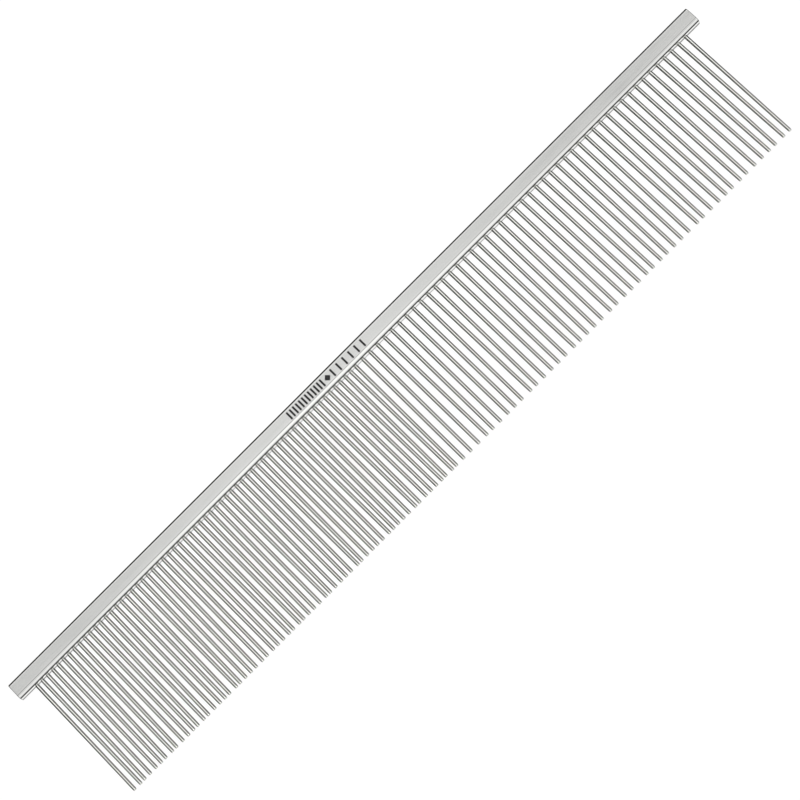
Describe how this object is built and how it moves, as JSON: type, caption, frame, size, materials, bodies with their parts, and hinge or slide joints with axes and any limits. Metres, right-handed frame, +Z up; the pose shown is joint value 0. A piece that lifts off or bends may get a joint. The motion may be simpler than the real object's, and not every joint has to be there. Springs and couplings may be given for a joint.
{
  "type": "grooming comb",
  "caption": "Straight steel grooming comb: a bar spine holding a row of long round pins, closely spaced on one half and wider spaced on the other.",
  "frame": {"origin": "middle of the comb's outline, on the surface that the comb lies on", "axes": "+X along the spine towards the coarse pins, -Y the way the pins point, +Z up through the spine's thickness"},
  "size_m": [0.25, 0.0432, 0.0035],
  "materials": {
    "spine_steel": "satin, finely ground along its length",
    "pin_steel": "polished"
  },
  "bodies": {
    "root": {"spine": "spine_steel", "fine_pin_pair_01": "pin_steel", "fine_pin_pair_02": "pin_steel", "fine_pin_pair_03": "pin_steel", "fine_pin_pair_04": "pin_steel", "fine_pin_pair_05": "pin_steel", "fine_pin_pair_06": "pin_steel", "fine_pin_pair_07": "pin_steel", "fine_pin_pair_08": "pin_steel", "fine_pin_pair_09": "pin_steel", "fine_pin_pair_10": "pin_steel", "fine_pin_pair_11": "pin_steel", "fine_pin_pair_12": "pin_steel", "fine_pin_pair_13": "pin_steel", "fine_pin_pair_14": "pin_steel", "fine_pin_pair_15": "pin_steel", "fine_pin_pair_16": "pin_steel", "fine_pin_pair_17": "pin_steel", "fine_pin_pair_18": "pin_steel", "fine_pin_pair_19": "pin_steel", "fine_pin_pair_20": "pin_steel", "fine_pin_pair_21": "pin_steel", "fine_pin_pair_22": "pin_steel", "fine_pin_pair_23": "pin_steel", "fine_pin_pair_24": "pin_steel", "fine_pin_pair_25": "pin_steel", "fine_pin_pair_26": "pin_steel", "fine_pin_pair_27": "pin_steel", "fine_pin_pair_28": "pin_steel", "fine_pin_pair_29": "pin_steel", "fine_pin_pair_30": "pin_steel", "fine_pin_pair_31": "pin_steel", "coarse_pin_pair_01": "pin_steel", "coarse_pin_pair_02": "pin_steel", "coarse_pin_pair_03": "pin_steel", "coarse_pin_pair_04": "pin_steel", "coarse_pin_pair_05": "pin_steel", "coarse_pin_pair_06": "pin_steel", "coarse_pin_pair_07": "pin_steel", "coarse_pin_pair_08": "pin_steel", "coarse_pin_pair_09": "pin_steel", "coarse_pin_pair_10": "pin_steel", "coarse_pin_pair_11": "pin_steel", "coarse_pin_pair_12": "pin_steel", "coarse_pin_pair_13": "pin_steel", "coarse_pin_pair_14": "pin_steel", "coarse_pin_pair_15": "pin_steel", "coarse_pin_pair_16": "pin_steel", "coarse_pin_pair_17": "pin_steel", "coarse_pin_pair_18": "pin_steel", "coarse_pin_pair_19": "pin_steel", "coarse_pin_pair_20": "pin_steel", "coarse_pin_pair_21": "pin_steel", "coarse_pin_pair_22": "pin_steel", "coarse_pin_pair_23": "pin_steel"}
  },
  "joints": []
}
